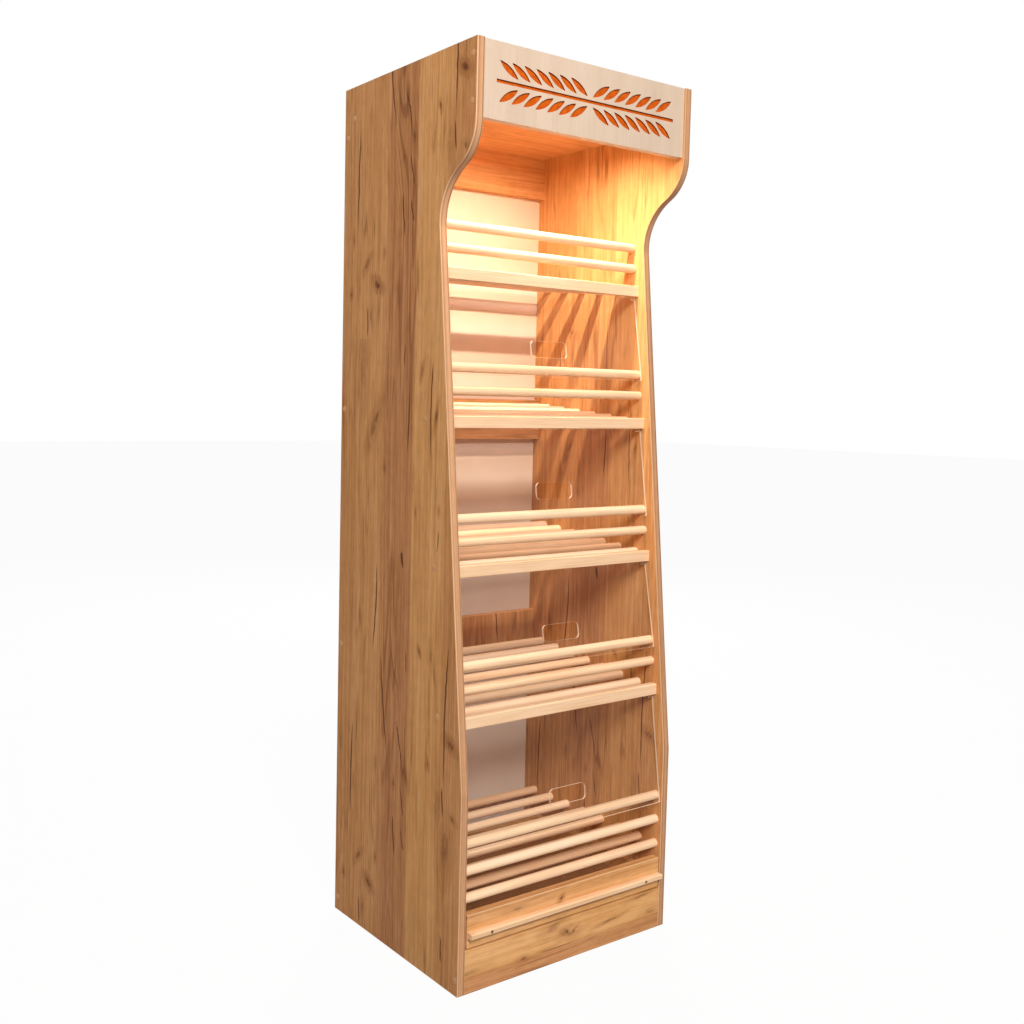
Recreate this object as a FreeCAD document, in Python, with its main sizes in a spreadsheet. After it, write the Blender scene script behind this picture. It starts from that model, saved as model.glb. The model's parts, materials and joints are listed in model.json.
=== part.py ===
import FreeCAD, Part
import os
import re
import Sketcher
from collections import defaultdict
from math import cos, radians, sin, sqrt, tan

# Bakery bread rack: two S-fronted side panels joined by boards, rails and dowel rods,
# with clear flaps over four tiers and a crumb drawer under the lowest one.
# The origin is on the floor under the middle, X to the right, the front faces -Y, Z up.

# Driving dimensions in millimetres. Slant is in degrees.
sizes = {
    # Body and the front outline of its side panels.
    "Width": 600,
    "Depth": 480,
    "Height": 1900,
    "Board": 18,
    "EdgeBand": 1,
    "WaistDepth": 111.4,
    "WaistDrop": 337.5,
    "WaistRadius": 115,
    "NoseRadius": 95,
    "Slant": 5.58,
    # Boards between the panels.
    "HeaderHeight": 150,
    "HeaderSetback": 4,
    "TopBoardDrop": 60,
    "CrosspieceHeight": 100,
    "MiddleCrosspieceTop": 1213,
    "LowCrosspieceTop": 668,
    "PlinthHeight": 92,
    "BackThickness": 3,
    "BackLap": 9,
    "BackLift": 5,
    "SheetFit": 0.5,
    # Ornament cut into the header.
    "GrooveDepth": 3,
    "GrainLength": 56,
    "GrainWidth": 14,
    "GrainPitch": 31,
    "GrainRise": 25,
    "GrainTilt": 32,
    "StemWidth": 7,
    # Rods and rails.
    "RodDiameter": 20,
    "RodFit": 0.1,
    "SocketDepth": 10,
    "RodEndGap": 0.5,
    "RailHeight": 24.5,
    "RailDepth": 18,
    "RailRadius": 1.5,
    "LowRailTop": 564,
    "TierPitch": 304.7,
    "RailSetback1": 19,
    "RailSetback2": 18,
    "RailSetback3": 19,
    "RailSetback4": 13,
    "FenceInset": 5,
    "FencePitch": 48,
    "FenceRise1": 41,
    "FenceRise2": 52,
    "FenceRise3": 46,
    "FenceRise4": 51,
    "ShelfDrop": 7,
    "ShelfRearInset": 54,
    "FirstRodGap1": 44,
    "FirstRodGap2": 40,
    "FirstRodGap3": 27,
    "FirstRodGap4": 41,
    # Lowest tier, which has a third fence rod in place of a rail.
    "LowShelfGap": 18,
    "LowFenceSetback": 8,
    "LowFencePitch": 57,
    "LowFirstRodGap": 50,
    "LowShelfRearInset": 44,
    # Flaps, hung on pins under the rail above.
    "FlapThickness": 4,
    "FlapSideGap": 3,
    "FlapEdge": 4,
    "FlapDrop": 13.5,
    "FlapCorner": 4,
    "FlapRestGap": 0.3,
    "PivotDrop": 6.5,
    "PinDiameter": 2.5,
    "PinGrip": 12,
    "PinReach": 5,
    "PinFit": 0.05,
    "HandHoleWidth": 102,
    "HandHoleHeight": 36,
    "HandHoleRadius": 10,
    "HandHoleDrop": 129.5,
    "LowHandHoleDrop": 173,
    # Crumb drawer and its runners.
    "DrawerGap": 4,
    "DrawerLift": 4,
    "DrawerFrontHeight": 69,
    "DrawerSideLift": 12,
    "DrawerSideHeight": 35,
    "DrawerRearGap": 41,
    "DrawerBottomThickness": 3,
    "HandleDepth": 15,
    "HandleHeight": 12,
    "HandleLift": 26,
    "HandleEndGap": 1,
    "HandleRadius": 3,
    "HandleScrewInset": 58,
    "RunnerGap": 13,
    "RunnerDepth": 11,
    "RunnerHeight": 27,
    "RunnerWall": 1.2,
    "RunnerEndGap": 40,
    "RunnerFit": 0.3,
    "RunnerScrewInset": 40,
    # Light under the top board, behind the header.
    "LampSetback": 107,
    "ProfileDepth": 16,
    "ProfileHeight": 10,
    "ProfileWall": 1.5,
    "ProfileEndGap": 2,
    "EndCapThickness": 2,
    "StripThickness": 1.2,
    "StripWidth": 10,
    "DiffuserThickness": 1.5,
    "DriverLength": 150,
    "DriverDepth": 38,
    "DriverHeight": 24,
    "DriverEndGap": 72,
    "EarLength": 12,
    "EarThickness": 3,
    "InletDepth": 12,
    "InletWidth": 20,
    "InletHeight": 14,
    "InletWall": 1.5,
    "InletPinDiameter": 2.4,
    "InletPinSpacing": 8,
    "WireDiameter": 2.6,
    "WireReach": 40,
    "WireBend": 14,
    "WireHoleGap": 0.7,
    # Fasteners: head, head height, shank, length under or with the head, fit in the hole.
    "PanelScrewHead": 10,
    "PanelScrewHeadHeight": 3,
    "PanelScrewShank": 7,
    "PanelScrewLength": 50,
    "HandleScrewHead": 7,
    "HandleScrewHeadHeight": 3,
    "HandleScrewShank": 4,
    "HandleScrewLength": 30,
    "BackScrewHead": 6,
    "BackScrewHeadHeight": 1.5,
    "BackScrewShank": 3,
    "BackScrewLength": 16,
    "RunnerScrewHead": 7,
    "RunnerScrewHeadHeight": 1.8,
    "RunnerScrewShank": 3.5,
    "RunnerScrewLength": 14,
    "DriverScrewHead": 6,
    "DriverScrewHeadHeight": 1.5,
    "DriverScrewShank": 3,
    "DriverScrewLength": 14,
    "ScrewFit": 0.05,
    "ScrewInset": 30,
    "TopScrewInset": 36,
    "PlinthScrewHeight": 32,
    "CapDiameter": 13,
    "CapThickness": 0.8,
    "CapStem": 4,
    "CapStemLength": 2,
    "DowelDiameter": 8,
    "DowelLength": 30,
    "DowelPanelDepth": 10,
    "DrawerDowelDiameter": 6,
    "DrawerDowelLength": 24,
    "DrawerDowelSpacing": 17,
    "DowelFit": 0.05,
    "DowelEndGap": 0.5,
}

# Shelf rods in each tier, the top tier first.
shelf_rods = {1: 5, 2: 6, 3: 7, 4: 7, 5: 7}
rail_tiers = [1, 2, 3, 4]
low_tier = 5
grain_pairs = 7
back_screws_per_side = 6
sides = {"left": -1, "right": 1}

rotations = {
    "+X": FreeCAD.Rotation(FreeCAD.Vector(0, 1, 0), 90),
    "-X": FreeCAD.Rotation(FreeCAD.Vector(0, 1, 0), -90),
    "+Y": FreeCAD.Rotation(FreeCAD.Vector(1, 0, 0), -90),
    "-Y": FreeCAD.Rotation(FreeCAD.Vector(1, 0, 0), 90),
    "+Z": FreeCAD.Rotation(),
    "-Z": FreeCAD.Rotation(FreeCAD.Vector(1, 0, 0), 180),
}

doc = FreeCAD.newDocument("BreadRack")
sheet = doc.addObject("Spreadsheet::Sheet", "Sizes")
for row, (alias, number) in enumerate(sizes.items(), start=1):
    sheet.set(f"A{row}", alias)
    sheet.set(f"B{row}", str(number))
    sheet.setAlias(f"B{row}", alias)
doc.recompute()

# Each node's blank, and the solids to be cut out of it.
blanks = {}
holes = defaultdict(list)

# Each kind of fastener as a solid and its hole, and the fasteners placed so far by group.
kinds = {}
groups = defaultdict(list)

# Places that many pieces share.
front = "((HandleDepth - Depth) / 2)"
back = "((HandleDepth + Depth) / 2)"
inner_width = "(Width - 2 * Board)"
half_inner = "(Width / 2 - Board)"
back_face = f"({back} - BackThickness)"
header_rear = f"({front} + HeaderSetback + Board)"
header_bottom = "(Height - HeaderHeight)"
top_board_top = "(Height - TopBoardDrop)"
waist_height = "(Height - WaistDrop)"
low_shelf_z = "(PlinthHeight + DrawerLift + DrawerFrontHeight + LowShelfGap + RodDiameter / 2)"


def linked(expression):
    """Let an expression name the sheet's cells by alias alone."""
    words = "|".join(sorted(sizes, key=len, reverse=True))
    return re.sub(rf"(?<![.\w])({words})\b", r"Sizes.\1", str(expression))


def bind(item, **expressions):
    for prop, expression in expressions.items():
        item.setExpression(prop, linked(expression))


def place(item, x, y, z, axis="+Z"):
    item.Placement = FreeCAD.Placement(FreeCAD.Vector(), rotations[axis])
    for letter, expression in zip("xyz", (x, y, z)):
        item.setExpression(f"Placement.Base.{letter}", linked(expression))
    return item


def at(name, letter):
    """One coordinate of a placed object, as a plain number."""
    return f"({name}.Placement.Base.{letter} / 1 mm)"


def box(name, length, width, height, x, y, z):
    item = doc.addObject("Part::Box", name)
    bind(item, Length=length, Width=width, Height=height)
    return place(item, x, y, z)


def cylinder(name, diameter, length, x, y, z, axis="+Z"):
    item = doc.addObject("Part::Cylinder", name)
    bind(item, Radius=f"({diameter}) / 2", Height=length)
    return place(item, x, y, z, axis)


def compound(name, items):
    item = doc.addObject("Part::Compound", name)
    item.Links = items
    return item


def fuse(name, items):
    item = doc.addObject("Part::MultiFuse", name)
    item.Shapes = items
    return item


def cut(name, base, tool):
    item = doc.addObject("Part::Cut", name)
    item.Base = base
    item.Tool = tool
    return item


def copy_of(master, name, x, y, z, axis="+Z"):
    item = doc.addObject("App::Link", name)
    item.LinkedObject = master
    return place(item, x, y, z, axis)


def new_body(name):
    return doc.addObject("PartDesign::Body", f"{name}_body")


def new_sketch(body, name, role):
    sketch = body.newObject("Sketcher::SketchObject", name)
    plane = next(item for item in body.Origin.OriginFeatures if item.Role == role)
    sketch.AttachmentSupport = [(plane, "")]
    sketch.MapMode = "FlatFace"
    return sketch


def point(x, y):
    return FreeCAD.Vector(x, y, 0)


def dimension(sketch, kind, *arguments, value, expression):
    index = sketch.addConstraint(Sketcher.Constraint(kind, *arguments, value))
    sketch.setExpression(f"Constraints[{index}]", linked(expression))


def pad(body, sketch, name, length, midplane=False):
    item = body.newObject("PartDesign::Pad", name)
    item.Profile = sketch
    item.Midplane = midplane
    bind(item, Length=length)
    return item


def rectangle(sketch, low, high, expressions):
    """Rectangle from low to high; expressions hold left, bottom, width and height."""
    corners = [point(*low), point(high[0], low[1]), point(*high), point(low[0], high[1])]
    for start, end in zip(corners, corners[1:] + corners[:1]):
        sketch.addGeometry(Part.LineSegment(start, end))
    for line in range(4):
        sketch.addConstraint(Sketcher.Constraint("Coincident", line, 2, (line + 1) % 4, 1))
        sketch.addConstraint(Sketcher.Constraint("Vertical" if line % 2 else "Horizontal", line))
    left, bottom, width, height = expressions
    dimension(sketch, "DistanceX", -1, 1, 0, 1, value=low[0], expression=left)
    dimension(sketch, "DistanceY", -1, 1, 0, 1, value=low[1], expression=bottom)
    dimension(sketch, "DistanceX", 0, 1, 0, 2, value=high[0] - low[0], expression=width)
    dimension(sketch, "DistanceY", 1, 1, 1, 2, value=high[1] - low[1], expression=height)


# Side panels.

def outline(body, name, inset):
    """Panel outline with its front edge set in, drawn from the front face: Y right, Z up."""
    sketch = new_sketch(body, name, "YZ_Plane")
    shift = sizes["EdgeBand"] if inset == "EdgeBand" else 0
    nose_radius = sizes["NoseRadius"] - shift
    waist_radius = sizes["WaistRadius"] + shift
    slant = radians(sizes["Slant"])
    waist = point(sizes["WaistDepth"] + shift - waist_radius, sizes["Height"] - sizes["WaistDrop"])
    run = nose_radius + shift - waist.x
    reach = nose_radius + waist_radius
    nose = waist + point(run, sqrt(reach ** 2 - run ** 2))
    turn = waist + (nose - waist) * (waist_radius / reach)
    low = waist + point(waist_radius * cos(slant), -waist_radius * sin(slant))
    kink = point(shift, low.y - (low.x - shift) / tan(slant))
    depth, height = sizes["Depth"], sizes["Height"]
    waist_angles = [FreeCAD.Vector(1, 0, 0).getAngle(spot - waist) for spot in (low, turn)]
    nose_angle = FreeCAD.Vector(-1, 0, 0).getAngle(turn - nose)
    z_axis = FreeCAD.Vector(0, 0, 1)
    corners = [point(depth, 0), point(depth, height), point(shift, height), point(shift, nose.y)]
    for start, end in zip(corners, corners[1:]):
        sketch.addGeometry(Part.LineSegment(start, end))
    nose_circle = Part.Circle(nose, z_axis, nose_radius)
    waist_circle = Part.Circle(waist, z_axis, waist_radius)
    half_turn = radians(180)
    sketch.addGeometry(Part.ArcOfCircle(nose_circle, half_turn, half_turn + nose_angle))
    sketch.addGeometry(Part.ArcOfCircle(waist_circle, -waist_angles[0], waist_angles[1]))
    sketch.addGeometry(Part.LineSegment(kink, low))
    sketch.addGeometry(Part.LineSegment(point(shift, 0), kink))
    sketch.addGeometry(Part.LineSegment(point(depth, 0), point(shift, 0)))
    rear, top, upper, nose_arc, waist_arc, slope, foot, floor = range(8)
    joints = [(rear, 2, top, 1), (top, 2, upper, 1), (slope, 1, foot, 2), (foot, 1, floor, 2),
              (floor, 1, rear, 1)]
    tangents = [(upper, 2, nose_arc, 1), (nose_arc, 2, waist_arc, 2), (waist_arc, 1, slope, 2)]
    for joint in joints:
        sketch.addConstraint(Sketcher.Constraint("Coincident", *joint))
    for joint in tangents:
        sketch.addConstraint(Sketcher.Constraint("Tangent", *joint))
    for line in (rear, upper, foot):
        sketch.addConstraint(Sketcher.Constraint("Vertical", line))
    for line in (top, floor):
        sketch.addConstraint(Sketcher.Constraint("Horizontal", line))
    sketch.addConstraint(Sketcher.Constraint("PointOnObject", rear, 1, -1))
    dimension(sketch, "DistanceX", -1, 1, rear, 1, value=depth, expression="Depth")
    dimension(sketch, "DistanceY", rear, 1, rear, 2, value=height, expression="Height")
    for line, end in ((upper, 1), (foot, 1)):
        dimension(sketch, "DistanceX", line, end, rear, 1, value=depth - shift,
                  expression=f"Depth - {inset}")
    dimension(sketch, "Radius", nose_arc, value=nose_radius, expression=f"NoseRadius - {inset}")
    dimension(sketch, "Radius", waist_arc, value=waist_radius, expression=f"WaistRadius + {inset}")
    dimension(sketch, "DistanceY", -1, 1, waist_arc, 3, value=waist.y, expression=waist_height)
    dimension(sketch, "DistanceX", waist_arc, 3, rear, 1, value=depth - waist.x,
              expression="Depth - WaistDepth + WaistRadius")
    dimension(sketch, "Angle", slope, value=radians(90) - slant, expression="90 - Slant")
    return sketch


def panel_solid(name, inset, x):
    body = new_body(name)
    place(body, x, front, "0")
    pad(body, outline(body, f"{name}_outline", inset), f"{name}_pad", "Board")
    return body


def side_panels():
    for side, sign in sides.items():
        x = half_inner if sign > 0 else "-Width / 2"
        panel = panel_solid(f"{side}_panel_core", "EdgeBand", x)
        full = panel_solid(f"{side}_panel_full", "0", x)
        core = panel_solid(f"{side}_band_core", "EdgeBand", x)
        blanks[f"{side}_side_panel"] = panel
        blanks[f"{side}_edge_band"] = cut(f"{side}_band", full, core)
        lap = "BackLap + SheetFit"
        start = half_inner if sign > 0 else f"-{half_inner} - ({lap})"
        rebate = box(f"{side}_rebate", lap, "BackThickness", "Height", start, back_face, "0")
        holes[f"{side}_side_panel"].append(rebate)


# Fasteners. Each kind is drawn once, with its head at the origin, and then placed.

def countersunk(name, kind, gap):
    head = doc.addObject("Part::Cone", f"{name}_head")
    bind(head, Radius1=f"{kind}Head / 2 + {gap}", Radius2=f"{kind}Shank / 2 + {gap}",
         Height=f"{kind}HeadHeight")
    shank = cylinder(f"{name}_shank", f"{kind}Shank + 2 * {gap}",
                     f"{kind}Length - {kind}HeadHeight + {gap}", "0", "0", f"{kind}HeadHeight")
    return fuse(name, [head, shank])


def pan_head(name, kind):
    head = cylinder(f"{name}_head", f"{kind}Head", f"{kind}HeadHeight", "0", "0",
                    f"-{kind}HeadHeight")
    shank = cylinder(f"{name}_shank", f"{kind}Shank", f"{kind}Length", "0", "0", "0")
    return fuse(name, [head, shank])


def shank_hole(name, kind):
    hole = cylinder(f"{name}_bore", f"{kind}Shank + 2 * ScrewFit", f"{kind}Length + ScrewFit",
                    "0", "0", "0")
    return compound(name, [hole])


def centred_peg(name, diameter, length):
    return compound(name, [cylinder(f"{name}_peg", diameter, length, "0", "0", f"-({length}) / 2")])


def fastener_kinds():
    kinds["panel"] = (cut("panel_screw", countersunk("panel_screw_solid", "PanelScrew", "0"),
                          cylinder("panel_screw_drive", "CapStem + 2 * ScrewFit",
                                   "CapStemLength + ScrewFit", "0", "0", "0")),
                      countersunk("panel_screw_hole", "PanelScrew", "ScrewFit"))
    for kind in ("Handle", "Back"):
        name = f"{kind.lower()}_screw"
        kinds[kind.lower()] = (countersunk(name, f"{kind}Screw", "0"),
                               countersunk(f"{name}_hole", f"{kind}Screw", "ScrewFit"))
    for kind in ("Runner", "Driver"):
        name = f"{kind.lower()}_screw"
        kinds[kind.lower()] = (pan_head(name, f"{kind}Screw"), shank_hole(f"{name}_hole", f"{kind}Screw"))
    kinds["dowel"] = (centred_peg("dowel", "DowelDiameter", "DowelLength"),
                      centred_peg("dowel_hole", "DowelDiameter + 2 * DowelFit",
                                  "DowelLength + 2 * DowelEndGap"))
    kinds["drawer_dowel"] = (centred_peg("drawer_dowel", "DrawerDowelDiameter", "DrawerDowelLength"),
                             centred_peg("drawer_dowel_hole", "DrawerDowelDiameter + 2 * DowelFit",
                                         "DrawerDowelLength + 2 * DowelEndGap"))
    cap = cylinder("cap_disc", "CapDiameter", "CapThickness", "0", "0", "-CapThickness")
    stem = cylinder("cap_stem", "CapStem", "CapStemLength", "0", "0", "0")
    kinds["cap"] = (fuse("cover_cap", [cap, stem]), None)


def fasten(kind, group, x, y, z, axis, pieces=()):
    """Add one fastener to its group, and its hole to every piece that it goes through."""
    solid, hole = kinds[kind]
    number = len(groups[group]) + 1
    groups[group].append(copy_of(solid, f"{group}_{number}", x, y, z, axis))
    if pieces:
        tool = copy_of(hole, f"{group}_hole_{number}", x, y, z, axis)
        for piece in pieces:
            holes[piece].append(tool)


def panel_screws(y, z, piece):
    """One capped screw through each side panel into the end of a board or rod."""
    for side, sign in sides.items():
        place_values = (f"{sign} * Width / 2", y, z, "-X" if sign > 0 else "+X")
        fasten("panel", "panel_screws", *place_values, (f"{side}_side_panel", piece))
        fasten("cap", "cover_caps", *place_values)


# Boards between the panels.

def cross_board(name, depth, height, y, z):
    blanks[name] = box(f"{name}_blank", inner_width, depth, height, f"-{half_inner}", y, z)


def boards():
    board_y = f"{back_face} - Board"
    cross_board("header_board", "Board", "HeaderHeight", f"{front} + HeaderSetback", header_bottom)
    cross_board("top_board", f"{back_face} - {header_rear}", "Board", header_rear,
                f"{top_board_top} - Board")
    crosspieces = {"top": f"{top_board_top} - Board", "middle": "MiddleCrosspieceTop",
                   "low": "LowCrosspieceTop"}
    for place_name, top in crosspieces.items():
        name = f"back_crosspiece_{place_name}"
        cross_board(name, "Board", "CrosspieceHeight", board_y, f"{top} - CrosspieceHeight")
        panel_screws(f"{back_face} - Board / 2", f"{top} - ScrewInset", name)
    cross_board("front_plinth", "Board", "PlinthHeight", front, "0")
    cross_board("bottom_board", f"{back_face} - {front} - Board", "Board", f"{front} + Board",
                "PlinthHeight - Board")
    cross_board("rear_plinth", "Board", "PlinthHeight - Board", board_y, "0")
    panel_screws(f"{front} + Board / 2", "PlinthScrewHeight", "front_plinth")
    panel_screws(f"{back_face} - Board / 2", "PlinthScrewHeight", "rear_plinth")
    for z in ("Height - ScrewInset", f"{header_bottom} + ScrewInset"):
        panel_screws(f"{front} + HeaderSetback + Board / 2", z, "header_board")
    panel_screws(f"{back_face} - TopScrewInset", f"{top_board_top} - Board / 2", "top_board")


def back_panel():
    width = f"{inner_width} + 2 * BackLap"
    height = f"{top_board_top} - BackLift"
    blanks["back_panel"] = box("back_panel_blank", width, "BackThickness", height,
                               f"-{half_inner} - BackLap", back_face, "BackLift")
    for side, sign in sides.items():
        for number in range(back_screws_per_side):
            share = (number + 0.5) / back_screws_per_side
            fasten("back", "back_panel_screws", f"{sign} * ({half_inner} + BackLap / 2)", back,
                   f"BackLift + ({height}) * {share}", "-Y", ("back_panel", f"{side}_side_panel"))
    for place_name, top in (("middle", "MiddleCrosspieceTop"), ("low", "LowCrosspieceTop")):
        fasten("back", "back_panel_screws", "0", back, f"{top} - CrosspieceHeight / 2", "-Y",
               ("back_panel", f"back_crosspiece_{place_name}"))


def grain_cutter():
    """One leaf-shaped grain, two equal arcs, on the header's front face."""
    body = new_body("grain")
    sketch = new_sketch(body, "grain_outline", "XZ_Plane")
    length, width = sizes["GrainLength"], sizes["GrainWidth"]
    radius = (length ** 2 + width ** 2) / (4 * width)
    centre = radius - width / 2
    half_angle = FreeCAD.Vector(1, 0, 0).getAngle(point(centre, length / 2))
    for sign, middle_angle in ((1, 0), (-1, radians(180))):
        circle = Part.Circle(point(-sign * centre, 0), FreeCAD.Vector(0, 0, 1), radius)
        sketch.addGeometry(Part.ArcOfCircle(circle, middle_angle - half_angle, middle_angle + half_angle))
    for first, second in ((1, 2), (2, 1)):
        sketch.addConstraint(Sketcher.Constraint("Coincident", 0, first, 1, second))
    for arc in (0, 1):
        dimension(sketch, "Radius", arc, value=radius,
                  expression="(GrainLength * GrainLength + GrainWidth * GrainWidth) / (4 * GrainWidth)")
    sketch.addConstraint(Sketcher.Constraint("PointOnObject", 0, 1, -2))
    sketch.addConstraint(Sketcher.Constraint("Symmetric", 0, 1, 0, 2, -1, 1))
    dimension(sketch, "DistanceY", 0, 1, 0, 2, value=length, expression="GrainLength")
    pad(body, sketch, "grain_pad", "2 * GrooveDepth", midplane=True)
    return body


def header_ornament():
    """A plain ear of grain cut into each half of the header, on one stem."""
    master = grain_cutter()
    face = f"{front} + HeaderSetback"
    middle = f"({header_bottom} + HeaderHeight / 2)"
    for side, sign in sides.items():
        for number in range(grain_pairs):
            for level in (-1, 1):
                grain = copy_of(master, f"{side}_grain", f"{sign} * GrainPitch * {number + 1}", face,
                                f"{middle} + {level} * GrainRise")
                grain.Placement.Rotation = FreeCAD.Rotation(FreeCAD.Vector(0, 1, 0), sizes["GrainTilt"])
                tilt = f"{sign * level} * (90 - GrainTilt)"
                grain.setExpression("Placement.Rotation.Angle", linked(tilt))
                holes["header_board"].append(grain)
    reach = f"GrainPitch * {grain_pairs + 1}"
    stem = box("stem", f"2 * {reach}", "2 * GrooveDepth", "StemWidth", f"-{reach}",
               f"{face} - GrooveDepth", f"{middle} - StemWidth / 2")
    holes["header_board"].append(stem)


# Rails and rods.

def edge(z):
    """Y of the front edge at a height below the waist: slanted, then upright."""
    return (f"({front} + max(0; WaistDepth - WaistRadius * (1 - cos(Slant))"
            f" + ({z} - {waist_height} + WaistRadius * sin(Slant)) * tan(Slant)))")


def rail_top(tier):
    return f"(LowRailTop + {rail_tiers[-1] - tier} * TierPitch)"


def rails():
    for tier in rail_tiers:
        name = f"shelf_rail_tier_{tier}"
        body = new_body(name)
        place(body, f"-{half_inner}", f"{edge(rail_top(tier))} + RailSetback{tier}",
              f"{rail_top(tier)} - RailHeight")
        blanks[name] = rounded_bar(body, name, inner_width, "RailDepth", "RailHeight", "RailRadius")
        for side, sign in sides.items():
            fasten("dowel", "rail_dowels", f"{sign} * ({half_inner} + DowelPanelDepth - DowelLength / 2)",
                   f"{at(body.Name, 'y')} + RailDepth / 2", f"{at(body.Name, 'z')} + RailHeight / 2",
                   "+X", (name, f"{side}_side_panel"))


def rounded_bar(body, name, length, depth, height, radius, front_only=False):
    """Bar along X from the body's origin, with its long edges rounded."""
    sketch = new_sketch(body, f"{name}_section", "YZ_Plane")
    rectangle(sketch, (0, 0), (sizes[depth], sizes[height]), ("0", "0", depth, height))
    solid = pad(body, sketch, f"{name}_pad", length)
    doc.recompute()
    chosen = []
    for number, line in enumerate(solid.Shape.Edges, start=1):
        bounds = line.BoundBox
        if bounds.XLength > bounds.YLength + bounds.ZLength and (bounds.YMin < 1e-6 or not front_only):
            chosen.append(f"Edge{number}")
    round_edges(body, solid, chosen, f"{name}_round", radius)
    return body


def round_edges(body, solid, chosen, name, radius):
    item = body.newObject("PartDesign::Fillet", name)
    item.Base = (solid, chosen)
    bind(item, Radius=radius)
    return item


def rod(name, y, z):
    """One rod in blind sockets in both side panels."""
    reach = f"({half_inner} + SocketDepth - RodEndGap)"
    item = cylinder(name, "RodDiameter", f"2 * {reach}", f"-{reach}", y, z, "+X")
    socket_reach = f"({half_inner} + SocketDepth)"
    socket = cylinder(f"{name}_socket", "RodDiameter + 2 * RodFit", f"2 * {socket_reach}",
                      f"-{socket_reach}", y, z, "+X")
    for side in sides:
        holes[f"{side}_side_panel"].append(socket)
    return item


def fence_rods():
    for tier in rail_tiers:
        rods = []
        for level in (1, 2):
            z = f"{rail_top(tier)} + FenceRise{tier} + {level - 1} * FencePitch"
            y = f"{edge(z)} + RailSetback{tier} + FenceInset + RodDiameter / 2"
            rods.append(rod(f"fence_rod_{tier}_{level}", y, z))
        blanks[f"fence_rods_tier_{tier}"] = compound(f"fence_{tier}", rods)
    y = f"{front} + LowFenceSetback + RodDiameter / 2"
    rods = [rod(f"fence_rod_{low_tier}_{level}", y, f"{low_shelf_z} + {level} * LowFencePitch")
            for level in (0, 1, 2)]
    blanks[f"fence_rods_tier_{low_tier}"] = compound(f"fence_{low_tier}", rods)


def shelf_row(tier, first_y, first_z, last_y, slope):
    """A row of rods from the first to the last, evenly spaced."""
    first = f"shelf_rod_{tier}_1"
    rods = [rod(first, first_y, first_z)]
    for number in range(1, shelf_rods[tier]):
        step = f"({last_y} - {at(first, 'y')}) * {number} / {shelf_rods[tier] - 1}"
        rods.append(rod(f"shelf_rod_{tier}_{number + 1}", f"{at(first, 'y')} + {step}",
                        f"{at(first, 'z')} + {step} * {slope}"))
    blanks[f"shelf_rods_tier_{tier}"] = compound(f"shelf_{tier}", rods)


def shelves():
    for tier in rail_tiers:
        rail_y = at(f"shelf_rail_tier_{tier}_body", "y")
        shelf_row(tier, f"{rail_y} + RailDepth + FirstRodGap{tier}", f"{rail_top(tier)} - ShelfDrop",
                  f"{back} - ShelfRearInset", "tan(Slant)")
        if tier > 1:
            first = f"shelf_rod_{tier}_1"
            panel_screws(at(first, "y"), at(first, "z"), f"shelf_rods_tier_{tier}")
    fence_y = at(f"fence_rod_{low_tier}_0", "y")
    shelf_row(low_tier, f"{fence_y} + LowFirstRodGap", low_shelf_z, f"{back} - LowShelfRearInset",
              "0")


# Flaps. Each hangs from two pins and rests against its tier's top fence rod.

def flaps():
    for tier in range(2, low_tier + 1):
        rail = f"shelf_rail_tier_{tier - 1}_body"
        rest = f"fence_rod_{tier}_2"
        pivot_y = f"({at(rail, 'y')} + RailDepth / 2)"
        pivot_z = f"({at(rail, 'z')} - PivotDrop)"
        back_by = f"({pivot_y} - {at(rest, 'y')})"
        up_by = f"({pivot_z} - {at(rest, 'z')})"
        reach = "(RodDiameter / 2 + FlapThickness / 2 + FlapRestGap)"
        lean = f"atan({back_by} / {up_by}) + asin({reach} / sqrt({back_by}^2 + {up_by}^2))"
        length = f"({up_by} + FlapDrop) / cos({lean})"
        body = new_body(f"flap_{tier}")
        place(body, "0", pivot_y, pivot_z)
        body.Placement.Rotation = FreeCAD.Rotation(FreeCAD.Vector(-1, 0, 0), sizes["Slant"])
        body.setExpression("Placement.Rotation.Angle", linked(lean))
        drop = "LowHandHoleDrop" if tier == low_tier else "HandHoleDrop"
        flap_sheet(body, tier, length, drop)
        blanks[f"flap_tier_{tier}"] = body
        flap_pins(tier, pivot_y, pivot_z)


def edges_through(solid, nearest, farthest):
    """Names of the edges straight through a sheet, by their distance from its middle."""
    names = []
    for number, line in enumerate(solid.Shape.Edges, start=1):
        bounds = line.BoundBox
        across = bounds.YLength > bounds.XLength + bounds.ZLength
        if across and nearest <= abs(bounds.XMin) <= farthest:
            names.append(f"Edge{number}")
    return names


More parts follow.
